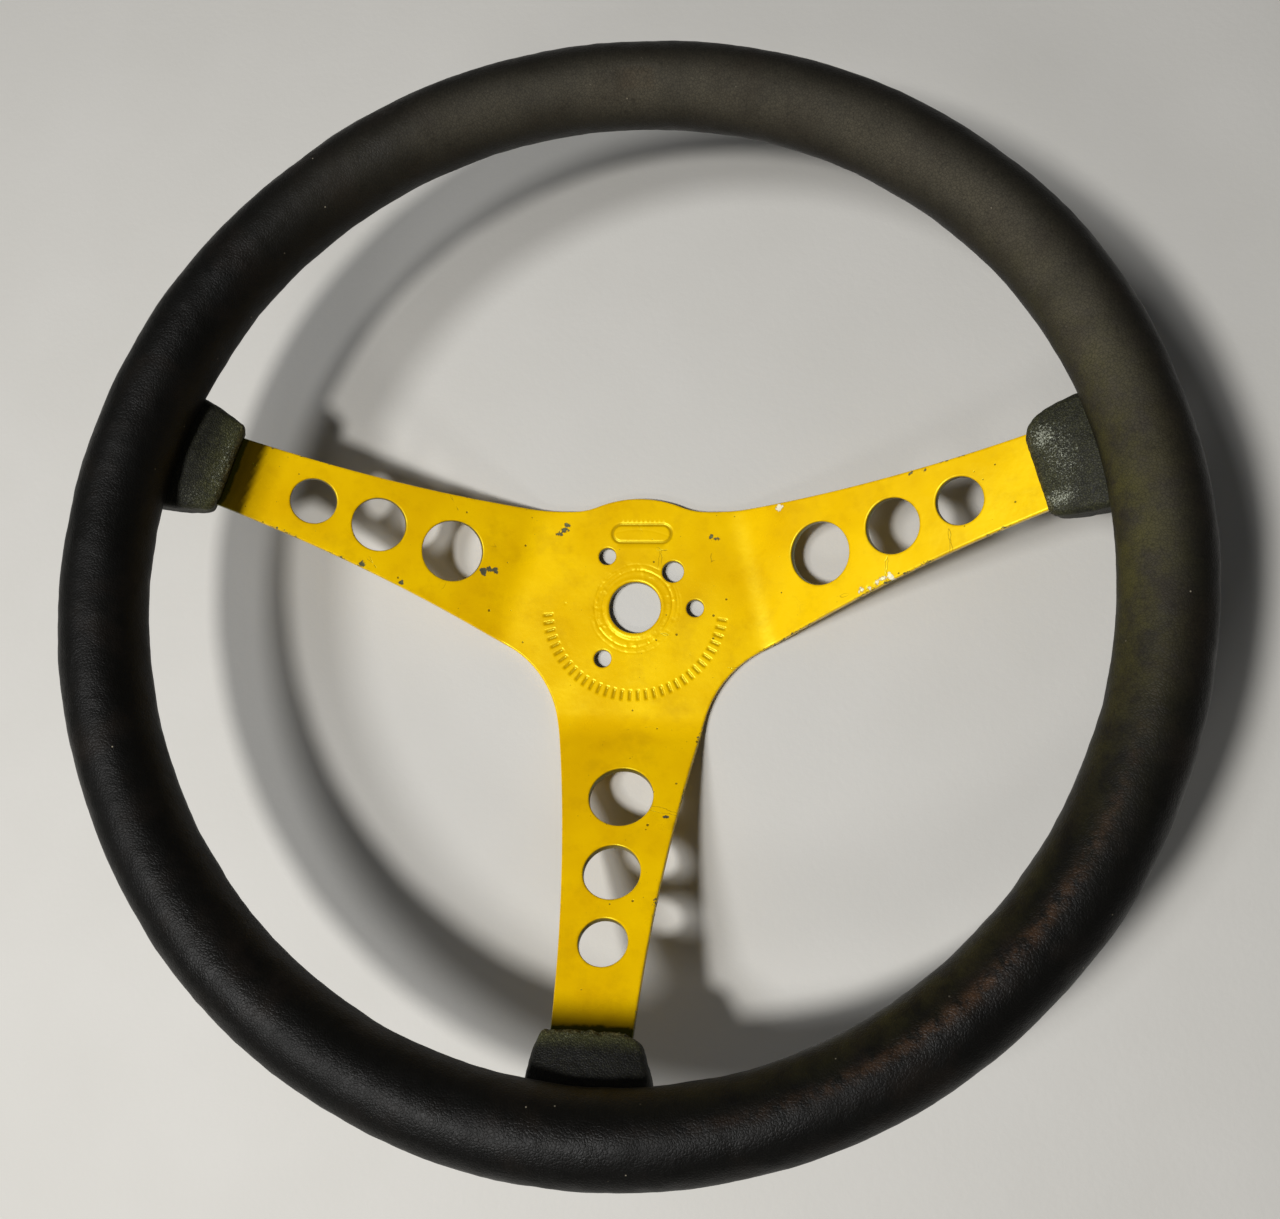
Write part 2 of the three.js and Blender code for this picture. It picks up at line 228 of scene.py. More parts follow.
def blank_holes(spacing):
    """The bore, the bolt holes, the lead hole and the three holes of each spoke."""
    holes = [circle(0j, BORE_RADIUS, spacing)]
    holes += [circle(BOLT_CIRCLE_RADIUS * unit(a), BOLT_HOLE_RADIUS, spacing) for a in BOLT_ANGLES]
    lead_radius, lead_distance, lead_angle = LEAD_HOLE
    holes.append(circle(lead_distance * unit(lead_angle), lead_radius, spacing))
    for angle in SPOKE_ANGLES.values():
        for radius, distance in SPOKE_HOLES:
            along = SLOPE_START + distance - BEND_START
            holes.append(circle(along * unit(angle), radius, spacing))
    return holes


def inset(loop, amount):
    """A closed loop moved to its left by an amount, with mitred corners."""
    ahead = np.roll(loop, -1) - loop
    ahead = ahead / abs(ahead)
    behind = np.roll(ahead, 1)
    left = 1j * (ahead + behind)
    return loop + amount * left / (1 + (ahead * behind.conj()).real)


def inside_of(points, loop):
    """Which points lie inside a closed loop, by counting crossings."""
    hits = np.zeros(len(points), bool)
    for a, b in zip(loop, np.roll(loop, -1)):
        if a.imag == b.imag:
            continue
        spans = (points.imag > a.imag) != (points.imag > b.imag)
        cross = a.real + (points.imag - a.imag) * (b.real - a.real) / (b.imag - a.imag)
        hits ^= spans & (points.real < cross)
    return hits


def distance_to(points, loop):
    """The distance from each point to a closed loop."""
    best = np.full(len(points), 1e9)
    for a, b in zip(loop, np.roll(loop, -1)):
        t = ((points - a) * (b - a).conjugate()).real / abs(b - a) ** 2
        best = np.minimum(best, abs(points - a - np.clip(t, 0, 1) * (b - a)))
    return best


# --- Relief and wear on the plate

MARK_RADIUS = 32.5  # the stamped ring of plain ticks
MARK_ANGLES = np.arange(186, 355, 5.2)
MARK_LENGTH = 4.0
MARK_WIDTH = 1.25
MARK_DEPTH = 0.4
PILL = (1.5 + 28j, 11.0, 3.4)  # centre, half length and radius of the stamped pill shape
PILL_DEPTH = 0.34
GUIDE_RADIUS = 29.4  # a faint ring scribed inside the ticks
GUIDE_DEPTH = 0.05
LIP_RADIUS = 10.6  # a lip raised round the bore
LIP_HEIGHT = 0.2
BRUISE_RADIUS = 14.0
BRUISE_DEPTH = 0.1
CHIP_DEPTH = 0.1

# Chips through the paint go down to dark steel, or only to pale primer.
TO_STEEL, TO_PRIMER = range(2)
# Chips round the hub: centre on the blank, size, and what they go down to
CHIPS = (
    (-29.8 + 28.0j, 1.1, TO_STEEL),
    (-28.2 + 29.6j, 1.2, TO_STEEL),
    (-27.3 + 31.2j, 0.7, TO_STEEL),
    (-57.2 + 12.3j, 1.0, TO_STEEL),
    (-55.3 + 12.8j, 1.1, TO_STEEL),
    (-53.3 + 12.6j, 0.8, TO_STEEL),
    (27.2 + 26.5j, 0.7, TO_STEEL),
    (29.0 + 26.2j, 0.6, TO_STEEL),
    (-26.0 + 1.0j, 0.5, TO_STEEL),
)
# Chips on a spoke: its name, the distance along the blank, across it, size, what they go down to
SPOKE_CHIPS = (
    ("right", 61.5, 21.2, 1.0, TO_PRIMER),
    ("right", 83.5, -17.7, 0.5, TO_PRIMER),
    ("right", 86, -17.4, 0.8, TO_PRIMER),
    ("right", 89, -17.0, 0.8, TO_PRIMER),
    ("right", 92, -16.7, 0.9, TO_PRIMER),
    ("right", 94.6, -16.3, 0.6, TO_PRIMER),
    ("right", 129, -12.3, 0.7, TO_PRIMER),
    ("right", 116, 13.6, 0.8, TO_STEEL),
    ("right", 111, 14.0, 0.7, TO_STEEL),
    ("right", 142, 6.5, 0.6, TO_STEEL),
    ("left", 86, 17.4, 0.6, TO_STEEL),
    ("left", 101, 15.6, 0.7, TO_STEEL),
    ("left", 121, 13.2, 0.5, TO_STEEL),
    ("bottom", 136, 3.5, 0.4, TO_STEEL),
    ("bottom", 79, 16.8, 0.5, TO_STEEL),
)

# Painted shadow: the paint is darkened beside two boots, as their cast shadows would fall. Each entry
# is a share of the painted shadow, and how far from the boot's face it starts to fade and is gone.
BOOT_PAINTED_SHADOWS = {
    "left": ((0.6, 7.0, 9.8), (0.4, 8.0, 18.0)),
    "bottom": ((1.0, 1.5, 14.0),),
}


def boot_painted_shadow(points):
    """How dark the painted shadow beside the boots is."""
    painted_shadow = np.zeros(len(points))
    for name, layers in BOOT_PAINTED_SHADOWS.items():
        face = SLOPE_START + BOOT_FACE[name]
        local = points / unit(SPOKE_ANGLES[name])
        on_spoke = (local.real > BEND_EDGE) & (abs(local.imag) < 2 * SPOKE_NARROW_HALF)
        for share, full, gone in layers:
            painted_shadow += np.where(on_spoke, share * (1 - smooth(face - local.real, full, gone)), 0)
    return painted_shadow


def tick_depth(points):
    """1 in the middle of a stamped tick and 0 outside all of them."""
    depth = np.zeros(len(points))
    for angle in MARK_ANGLES:
        local = points / unit(angle) - MARK_RADIUS
        reach = np.maximum(abs(local.real) / (MARK_LENGTH / 2), abs(local.imag) / (MARK_WIDTH / 2))
        depth = np.maximum(depth, 1 - smooth(reach, 0.55, 1.15))
    return depth


def pill_depth(points):
    """1 along the line of the stamped pill shape."""
    centre, half, radius = PILL
    local = points - centre
    beyond = np.maximum(abs(local.real) - half + radius, 0)
    off_line = abs(np.hypot(beyond, local.imag) - radius)
    return 1 - smooth(off_line, 0.3, 0.8)


def chip_distance(points, kind):
    """How far each point is outside the nearest chip of a kind, negative inside."""
    spots = [(c, size) for c, size, of in CHIPS if of == kind]
    for name, along, across, size, of in SPOKE_CHIPS:
        if of == kind:
            spots.append((complex(along, across) * unit(SPOKE_ANGLES[name]), size))
    return np.min([abs(points - c) - size for c, size in spots], axis=0)


# Rings that washers and nuts have pressed round the bore: centre, radius, depth, half width, and the
# direction where the ring is deepest
WASHER_RINGS = (
    (0.1 - 0.1j, 12.2, 0.13, 0.3, 225),
    (0.5 + 0.5j, 13.4, 0.2, 0.3, 50),
    (-0.5 - 0.2j, 14.6, 0.12, 0.28, 205),
    (0.4 + 0.9j, 15.3, 0.1, 0.26, 80),
    (0j, 16.9, 0.06, 0.26, 300),
)


def washer_depth(points):
    """How deep the pressed rings are; each fades out on the far side of its deepest direction."""
    flat = [(p.real, p.imag, 0) for p in points]
    uneven = 1 + 1.1 * lumps(flat, 5, 3)
    wander = 0.25 * lumps(flat, 8, 12)
    depth = np.zeros(len(points))
    for centre, radius, deepest, half, towards in WASHER_RINGS:
        local = points - centre
        facing = 0.5 + 0.5 * np.cos(np.angle(local) - math.radians(towards))
        strength = deepest * (0.15 + 0.85 * smooth(facing, 0.1, 0.75))
        depth += strength * bump_at(abs(local) + wander, radius, half)
    return depth * uneven


def plate_relief(points):
    """The height of stamping, washer marks and dings on the top face."""
    radius = abs(points)
    flat = [(p.real, p.imag, 0) for p in points]
    lip = LIP_HEIGHT * bump_at(radius, LIP_RADIUS, 0.5)
    dings = smooth(lumps(flat, 1.7, 3), 0.22, 0.42) - 0.7 * smooth(lumps(flat, 2.1, 13), 0.25, 0.4)
    bruises = BRUISE_DEPTH * dings * bump_at(radius, BRUISE_RADIUS, 2.6)
    stamped = -MARK_DEPTH * tick_depth(points) - PILL_DEPTH * pill_depth(points)
    guide = -GUIDE_DEPTH * bump_at(radius, GUIDE_RADIUS, 0.25)
    chip = np.minimum(chip_distance(points, TO_STEEL), chip_distance(points, TO_PRIMER))
    chipped = CHIP_DEPTH * (1 - smooth(chip, -0.3, 0.2))
    return lip - washer_depth(points) + bruises + stamped + guide - chipped


def sheet_waves(points):
    """The bent sheet isn't dead flat: broad shallow waves that both faces share."""
    flat = [(p.real, p.imag, 0) for p in points]
    broad = 0.35 * lumps(flat, 34, 1) * smooth(abs(points), 30, 60)
    return broad + 0.05 * lumps(flat, 9, 2)


def folded(points, height):
    """Blank points, at a height over the sheet's top face, bent up into the dished plate."""
    out = np.empty((len(points), 3))
    out[:, 0] = points.real
    out[:, 1] = points.imag
    out[:, 2] = PLATE_THICKNESS + height
    for angle in SPOKE_ANGLES.values():
        local = points / unit(angle)
        past = local.real - BEND_EDGE
        here = past > 0
        turn = np.minimum(past[here] / BEND_RADIUS, SPOKE_SLOPE)
        run = np.maximum(past[here] - BEND_LENGTH, 0)
        reach = BEND_RADIUS - height[here]
        along = BEND_EDGE + reach * np.sin(turn) + run * SLOPE_COS
        plan = (along + 1j * local.imag[here]) * unit(angle)
        out[here, 0] = plan.real
        out[here, 1] = plan.imag
        out[here, 2] = PLATE_THICKNESS + BEND_RADIUS - reach * np.cos(turn) + run * SLOPE_SIN
    return out


# --- The plate's mesh

EDGE_ROUND = 0.55  # of the sheet's edges, softened by the thick repaint
EDGE_STEPS = 4
EDGE_GUARD = 0.4  # a second ring of vertices this far inside the rounding keeps its shading even
LOOP_SPACING = 0.6
COARSE_SPACING = 1.7
FINE_SPACING = 0.36
COARSE_MARGIN = 0.6  # how far grid points keep from the loops, so that no triangle is a sliver
FINE_MARGIN = 0.35
BORE_ZONE = 18.2  # the radius of the finely meshed disc round the bore
OUTLINE_REACH = 9.0  # the distance to the outline is exact up to here


def triangular_grid(spacing, reach):
    """Points of a triangular grid over a square about the axis."""
    rows = np.arange(-reach, reach, spacing * math.sqrt(3) / 2)
    columns = np.arange(-reach, reach, spacing)
    x, y = np.meshgrid(columns, rows)
    x[1::2] += spacing / 2
    return (x + 1j * y).ravel()


def detail_zone(points):
    """Where the top face needs the fine grid: round the bore, the stamping and the chips."""
    radius = abs(points)
    low = np.degrees(np.angle(points)) % 360
    centre, half, pill_radius = PILL
    local = points - centre
    zone = radius < BORE_ZONE
    zone |= (abs(radius - MARK_RADIUS) < MARK_LENGTH / 2 + 0.8) & (low > 183) & (low < 357)
    zone |= (abs(local.real) < half + 1) & (abs(local.imag) < pill_radius + 1)
    chips = np.minimum(chip_distance(points, TO_STEEL), chip_distance(points, TO_PRIMER))
    return zone | (chips < 1.0)


def sheet_points(loops):
    """Grid points of the sheet, clear of some loops, and how far each is from the nearest loop."""
    coarse = triangular_grid(COARSE_SPACING, BLANK_TIP + 5)
    fine = triangular_grid(FINE_SPACING, HUB_BULGE_RADIUS + 60)
    grid = np.concatenate([coarse[~detail_zone(coarse)], fine[detail_zone(fine)]])
    grid = grid[inside_of(grid, loops[0])]
    for hole in loops[1:]:
        grid = grid[~inside_of(grid, hole)]
    near = np.full(len(grid), 1e9)
    for loop in loops:
        close = (grid.real > loop.real.min() - 6) & (grid.real < loop.real.max() + 6)
        near[close] = np.minimum(near[close], distance_to(grid[close], loop))
    margin = np.where(detail_zone(grid), FINE_MARGIN, COARSE_MARGIN)
    keep = near > margin
    return grid[keep], near[keep]


def outline_distance(points, outline):
    """The distance to the plate's outer edge, exact only near it."""
    return np.minimum(distance_to(points, outline[::3]), OUTLINE_REACH)


def plate_mesh(material):
    loops = [blank_outline(LOOP_SPACING), *blank_holes(LOOP_SPACING)]
    rims = [inset(loop, EDGE_ROUND) for loop in loops]
    guards = [inset(loop, EDGE_ROUND + EDGE_GUARD) for loop in loops]
    grid, near = sheet_points(guards)
    edges, start = [], 0
    for ring in rims + guards:
        count = len(ring)
        edges += [(start + k, start + (k + 1) % count) for k in range(count)]
        start += count
    seeds = np.concatenate([*rims, *guards, grid])
    made = delaunay_2d_cdt([Vector((p.real, p.imag)) for p in seeds], edges, [], 0, 1e-5)
    flat = np.array([complex(v.x, v.y) for v in made[0]])
    triangles = np.array([f for f in made[2] if len(f) == 3])
    middles = flat[triangles].mean(axis=1)
    keep = inside_of(middles, rims[0])
    for rim in rims[1:]:
        keep &= ~inside_of(middles, rim)
    triangles = triangles[keep]
    origin = [source[0] if source else -1 for source in made[3]]
    where = {source: new for new, source in enumerate(origin) if source >= 0}

    on_rims = sum(len(rim) for rim in rims)
    edge_of_seed = np.concatenate([
        np.full(on_rims, EDGE_ROUND * 0.8),
        np.full(on_rims, EDGE_ROUND + EDGE_GUARD),
        near + EDGE_ROUND + EDGE_GUARD,
    ])
    edge = np.array([edge_of_seed[s] if s >= 0 else EDGE_ROUND for s in origin])
    waves = sheet_waves(flat)
    top = folded(flat, plate_relief(flat) + waves)
    bottom = folded(flat, waves - PLATE_THICKNESS)
    count = len(flat)
    vertices = [top, bottom]
    plan = [flat, flat]
    edge_distance = [edge, edge]
    hole_painted_shade = [np.zeros(2 * count)]
    faces = [tuple(t) for t in triangles]
    faces += [(t[0] + count, t[2] + count, t[1] + count) for t in triangles]

    # Each edge rolls over from the top face, runs down, and rolls under to the bottom face.
    next_index = 2 * count
    seed_start = 0
    for loop in loops:
        size = len(loop)
        rim_ids = [where[seed_start + k] for k in range(size)]
        seed_start += size
        rings = [rim_ids]
        turns = [k / EDGE_STEPS * math.pi / 2 for k in range(1, EDGE_STEPS + 1)]
        levels = [(EDGE_ROUND * (1 - math.sin(t)), -EDGE_ROUND * (1 - math.cos(t)), 1) for t in turns]
        levels += [(i, -PLATE_THICKNESS - h, 0) for i, h, _ in reversed(levels)]
        for amount, height, on_top in levels:
            # Painted shade: a hole's wall is darkened below its rounding; the outline's edge keeps its
            # paint.
            wall_shade = 0 if loop is loops[0] else 1 - on_top * amount / EDGE_ROUND
            hole_painted_shade.append(np.full(size, wall_shade**3))
            ring = inset(loop, amount)
            lift = sheet_waves(ring) + (plate_relief(ring) if on_top else 0)
            vertices.append(folded(ring, lift + height))
            plan.append(ring)
            edge_distance.append(np.full(size, amount * 0.8))
            rings.append(list(range(next_index, next_index + size)))
            next_index += size
        rings.append([r + count for r in rim_ids])
        for upper, lower in zip(rings, rings[1:]):
            for k in range(size):
                n = (k + 1) % size
                faces.append((upper[k], lower[k], lower[n], upper[n]))
    plan = np.concatenate(plan)
    attributes = {
        "edge_distance": np.concatenate(edge_distance),
        "outline_distance": outline_distance(plan, loops[0]),
        "steel_chip": chip_distance(plan, TO_STEEL),
        "primer_chip": chip_distance(plan, TO_PRIMER),
        "stamped": np.maximum(tick_depth(plan), pill_depth(plan)),
        # These two carry painted shade in the holes and painted shadow beside the boots.
        "hole_painted_shade": np.concatenate(hole_painted_shade),
        "boot_painted_shadow": boot_painted_shadow(plan),
    }
    return new_object("spoke_plate_painted", np.concatenate(vertices), faces, attributes, material)


# --- The grip

GRIP_RING_STEPS = 1100
GRIP_SECTION_STEPS = 84
DENT = (87.9, 116.0, 5.6, 3.4)  # ring angle, section angle, half sizes of the pressed mark


def grip_mesh(material):
    ring = np.linspace(0, 2 * np.pi, GRIP_RING_STEPS, endpoint=False)
    section = np.linspace(0, 2 * np.pi, GRIP_SECTION_STEPS, endpoint=False)
    ring_at, section_at = (a.ravel() for a in np.meshgrid(ring, section, indexing="ij"))
    ideal = np.column_stack([
        RING_RADIUS * np.cos(ring_at) + GRIP_RADIAL_HALF * np.cos(section_at) * np.cos(ring_at),
        RING_RADIUS * np.sin(ring_at) + GRIP_RADIAL_HALF * np.cos(section_at) * np.sin(ring_at),
        DISH + GRIP_AXIAL_HALF * np.sin(section_at),
    ])
    out_of_round = 0.5 * np.cos(3 * (ring_at - math.radians(34)))
    swell = 0.5 * lumps(ideal, 55, 4) + 0.3 * lumps(ideal, 16, 5) + 0.12 * lumps(ideal, 5, 6)
    swell += 0.06 * lumps(ideal, 2.4, 7)
    ring_angle, section_angle, half_long, half_wide = DENT
    along = (np.degrees(ring_at) - ring_angle) * math.pi / 180 * RING_RADIUS
    across = (np.degrees(section_at) - section_angle) * math.pi / 180 * GRIP_RADIAL_HALF
    reach = np.maximum(abs(along) / half_long, abs(across) / half_wide)
    swell -= 0.35 * bump_at(reach, 1.0, 0.16) + 0.12 * (1 - smooth(reach, 0.8, 1.0))
    radial = (GRIP_RADIAL_HALF + swell) * np.cos(section_at)
    around = RING_RADIUS + out_of_round + radial
    vertices = np.column_stack([
        around * np.cos(ring_at),
        around * np.sin(ring_at),
        DISH + (GRIP_AXIAL_HALF + swell) * np.sin(section_at),
    ])
    index = np.arange(GRIP_RING_STEPS * GRIP_SECTION_STEPS).reshape(GRIP_RING_STEPS, -1)
    ahead, over = np.roll(index, -1, 0), np.roll(index, -1, 1)
    both = np.roll(ahead, -1, 1)
    faces = np.stack([index, ahead, both, over], -1).reshape(-1, 4)
    degrees = np.degrees(ring_at)
    from_right = (degrees + 180) % 360 - 180
    section_degrees = np.degrees(section_at)
    olive = 0.9 * bump_at(from_right, 4, 24) * bump_at(section_degrees, 150, 50)
    olive = np.maximum(olive, 0.4 * bump_at(degrees, 310, 24) * bump_at(section_degrees, 160, 30))
    rust = bump_at(degrees, 314, 22) * bump_at(section_degrees, 110, 8)
    dusty = 1 - smooth(abs(from_right - 56), 34, 90)
    dusty *= 0.04 + 0.96 * bump_at(section_degrees, 128, 44)
    attributes = {"olive": olive, "rust": rust, "dusty": dusty, "dent": 1 - smooth(reach, 0.7, 1.3)}
    return new_object("rim_grip_foam", vertices, faces, attributes, material)


# --- The boots

BOOT_GRID = 0.55
BOOT_GRID_CROWDING = 0.92  # how strongly the grid crowds towards the edges, up to 1
BOOT_TOP_ROUND = 2.4
BOOT_END_BELOW = 3.2  # how far below the top face the underside would end if it rose all the way
BOOT_CROWN = 1.1  # how far the middle of the top stands up
BOOT_SIDE_DROP = 0.5  # how far its sides sink
BOOT_VALLEY = 1.5  # how far the top sinks again beside the grip

# One entry a boot; where there are two values, the first is for the side where "across" is negative.
BOOT_FACE_HALF = {"right": (15.4, 16.2), "left": (15.8, 15.2), "bottom": (15.0, 15.8)}
BOOT_GRIP_HALF = {"right": (19.3, 18.2), "left": (20.6, 19.8), "bottom": (18.2, 20.4)}
BOOT_CORNER = {"right": (2.5, 9.0), "left": (1.6, 2.2), "bottom": (2.0, 2.8)}
BOOT_SET_BACK = {"right": (0.0, 0.0), "left": (0.0, 0.6), "bottom": (0.0, 1.7)}
BOOT_FRAY = {"right": 0.05, "left": 0.1, "bottom": 0.32}

# Painted glints on a boot: how far past its face, across it, half sizes both ways, strength
PAINTED_GLINTS = {
    "right": ((9, 1, 7, 12, 0.6), (5.5, 8, 4.5, 5, 1.0), (5, -11.5, 5.5, 3, 1.0)),
    "left": ((8, 13, 6, 5, 0.45), (2.5, 0, 3.5, 14, 0.55)),
    "bottom": ((2, -4, 1.6, 12, 0.35),),
}


def cube_grid(counts):
    """Vertices and quads of a subdivided cube from -1 to 1, with its shared corners merged."""
    ids, vertices, faces = {}, [], []

    def vertex(key):
        if key not in ids:
            ids[key] = len(vertices)
            vertices.append([2 * k / n - 1 for k, n in zip(key, counts)])
        return ids[key]

    for axis in range(3):
        u, v = (axis + 1) % 3, (axis + 2) % 3
        for side in (0, counts[axis]):
            for i in range(counts[u]):
                for j in range(counts[v]):
                    corners = []
                    for di, dj in ((0, 0), (1, 0), (1, 1), (0, 1)):
                        key = [0, 0, 0]
                        key[axis], key[u], key[v] = side, i + di, j + dj
                        corners.append(vertex(tuple(key)))
                    faces.append(corners if side else corners[::-1])
    return np.array(vertices), faces


def on_slope(points, name):
    """Points in a spoke's slope frame, moved to the wheel's frame."""
    along, across, height = points.T
    level = BEND_START + along * SLOPE_COS - height * SLOPE_SIN
    plan = (level + 1j * across) * unit(SPOKE_ANGLES[name])
    rise = PLATE_THICKNESS + along * SLOPE_SIN + height * SLOPE_COS
    return np.column_stack([plan.real, plan.imag, rise])


def rounded(first, second, radius):
    """Two depths under two faces that meet at an edge, moved so that the edge is an arc."""
    a = np.clip(1 - first / radius, 0, None)
    b = np.clip(1 - second / radius, 0, None)
    both = (a > 0) & (b > 0)
    shrink = np.where(both, np.maximum(a, b) / np.maximum(np.hypot(a, b), 1e-9), 1)
    moved_first = np.where(both, radius * (1 - a * shrink), first)
    moved_second = np.where(both, radius * (1 - b * shrink), second)
    return moved_first, moved_second


def boot_mesh(name, material):
    top = BOOT_ABOVE_PLATE
    low = -PLATE_THICKNESS - BOOT_BELOW_PLATE
    face = BOOT_FACE[name]
    length = BOOT_START + BOOT_LENGTH + 4 - face
    half = np.array([length / 2, BOOT_FULL_HALF, (top - low) / 2])
    cube, faces = cube_grid([int(2 * h / BOOT_GRID) for h in half])
    # Spreading the grid towards the edges keeps the rounded edges fine.
    quarter = math.pi / 2
    widest = math.sin(quarter * BOOT_GRID_CROWDING)
    cube = np.sin(cube * quarter * BOOT_GRID_CROWDING) / widest
    along, across, height = (cube * half).T
    along = along + half[0]
    side = np.sign(across)
    from_side = BOOT_FULL_HALF - abs(across)
    below_top = half[2] - height
    above_low = half[2] + height

    # The long edges and the face's edges, seen in section, then the face's corners in plan
    for depth in (below_top, above_low):
        shift = rounded(along, depth, BOOT_TOP_ROUND)[0] - along
        side_shift = rounded(from_side, depth, BOOT_TOP_ROUND)[0] - from_side
        sunk = rounded(np.minimum(along, from_side), depth, BOOT_TOP_ROUND)[1]
        height = height + (depth - sunk if depth is below_top else sunk - depth)
        along = along + shift
        from_side = from_side + side_shift
    for sign, radius in zip((-1, 1), BOOT_CORNER[name]):
        moved, moved_side = rounded(along, from_side, radius)
        along = np.where(side == sign, moved, along)
        from_side = np.where(side == sign, moved_side, from_side)

    share = side * (BOOT_FULL_HALF - from_side) / BOOT_FULL_HALF
    flare = np.clip(along / (BOOT_FLARE_LENGTH + 3), 0, 1)
    flare = flare + 0.12 * np.sin(flare * math.pi)
    for sign, start, end in zip((-1, 1), BOOT_FACE_HALF[name], BOOT_GRIP_HALF[name]):
        here = side == sign
        across[here] = share[here] * (start + (end - start) * flare[here])
    set_back = np.where(side > 0, BOOT_SET_BACK[name][1], BOOT_SET_BACK[name][0])
    along = along + set_back * smooth(abs(share), 0.6, 0.95) * (1 - smooth(along, 4, 14))

    height = height + (top + low) / 2
    above = smooth(height, -PLATE_THICKNESS, top)
    crown = BOOT_CROWN * (1 - share**2) * smooth(along, 0, 8) - BOOT_VALLEY * smooth(along, 15, 27)
    height += above * (crown - BOOT_SIDE_DROP * share**2)
    under = 1 - smooth(height, low, -PLATE_THICKNESS)
    tuck = 0.6 * (PLATE_THICKNESS + BOOT_BELOW_PLATE - BOOT_END_BELOW)
    height += under * tuck * smooth(along, 12, 31)
    local = np.column_stack([face + along, across, height])
    world = on_slope(local, name)
    centre = np.array([face + half[0], 0, (top + low) / 2])
    away = local - centre
    away[:, 0] *= 0.5
    away /= np.linalg.norm(away, axis=1)[:, None]
    edge = bump_at(along, 0.5, 1.2) * bump_at(height, top - 0.9, 1.8)
    grain = 0.45 * lumps(world, 9, 8) + 0.18 * lumps(world, 2.2, 9) + 0.08 * lumps(world, 1.1, 10)
    grain += BOOT_FRAY[name] * edge * 3 * lumps(world, 1.0, 11)
    world = world + on_slope(centre + away * grain[:, None], name) - on_slope(centre[None], name)

    hub_side = 1 - smooth(along, 0, 12)
    # Pale specks painted into the colour as glints of shine
    painted_glint = np.zeros(len(world))
    for from_face, middle, half_along, half_across, strength in PAINTED_GLINTS[name]:
        spread = bump_at(along, from_face, half_along) * bump_at(across, middle, half_across)
        painted_glint = np.maximum(painted_glint, strength * spread)
    olive = {
        "right": 0.3 + 0.3 * hub_side,
        "left": 0.16 + 0.84 * hub_side,
        "bottom": 1 - smooth(along, 1, 7),
    }
    attributes = {
        "olive": olive[name] * (0.3 + 0.7 * above),
        "painted_glint": painted_glint,
        "edge_wear": edge,
    }
    return new_object("boot_" + name + "_rubber", world, faces, attributes, material)


# --- Materials


def srgb(red, green, blue):
    """A colour from 0 to 255 as Blender's linear values."""
    values = [c / 255 for c in (red, green, blue)]
    linear = [c / 12.92 if c <= 0.04045 else ((c + 0.055) / 1.055) ** 2.4 for c in values]
    return (*linear, 1)


# Colours of the paint
PAINT_DEEP = srgb(228, 179, 0)
PAINT_BRIGHT = srgb(242, 196, 0)
PAINT_SHADE = srgb(196, 144, 0)
PAINT_GRIME = srgb(176, 128, 8)
STAMP_DIRT = srgb(140, 108, 6)
EDGE_DIRT = srgb(150, 112, 6)
PAINT_SPECK = srgb(92, 66, 18)
HAIR_CRACK = srgb(120, 88, 14)
CHIP_HALO = srgb(170, 120, 10)
BARE_STEEL_DARK = srgb(46, 44, 40)
BARE_STEEL_LIGHT = srgb(96, 92, 84)
PRIMER = srgb(228, 220, 196)
# Painted shade inside the holes, and painted shadow beside the boots
HOLE_PAINTED_SHADE = srgb(22, 18, 8)
PAINTED_BOOT_SHADOW = srgb(26, 11, 0)

# Colours of the grip
FOAM_BLACK = srgb(7, 7, 6)
FOAM_GREY = srgb(16, 15, 13)
DUST_DARK = srgb(44, 41, 34)
DUST_PALE = srgb(85, 80, 67)
FOAM_BROWN = srgb(36, 29, 23)
OLIVE_FILM = srgb(76, 73, 34)
RUST_FILM = srgb(84, 58, 36)
DENT_FILM = srgb(70, 56, 40)
FOAM_CREASE = srgb(8, 8, 7)
DUST_FLECK = srgb(122, 114, 98)
LINT = srgb(150, 142, 124)

# Colours of the boots
RUBBER_BLACK = srgb(10, 10, 9)
RUBBER_GREY = srgb(23, 23, 20)
RUBBER_OLIVE = srgb(66, 67, 36)
WORN_EDGE = srgb(96, 86, 50)
RUBBER_CREASE = srgb(7, 7, 6)
RUBBER_GRIT = srgb(104, 104, 70)
# Pale specks painted in as glints
PAINTED_GLINT_COLOUR = srgb(186, 190, 172)

# Colours of the steel and the floor
STEEL_RUST = srgb(92, 58, 36)
FLOOR_DEEP = srgb(194, 192, 186)
FLOOR_BRIGHT = srgb(202, 200, 195)


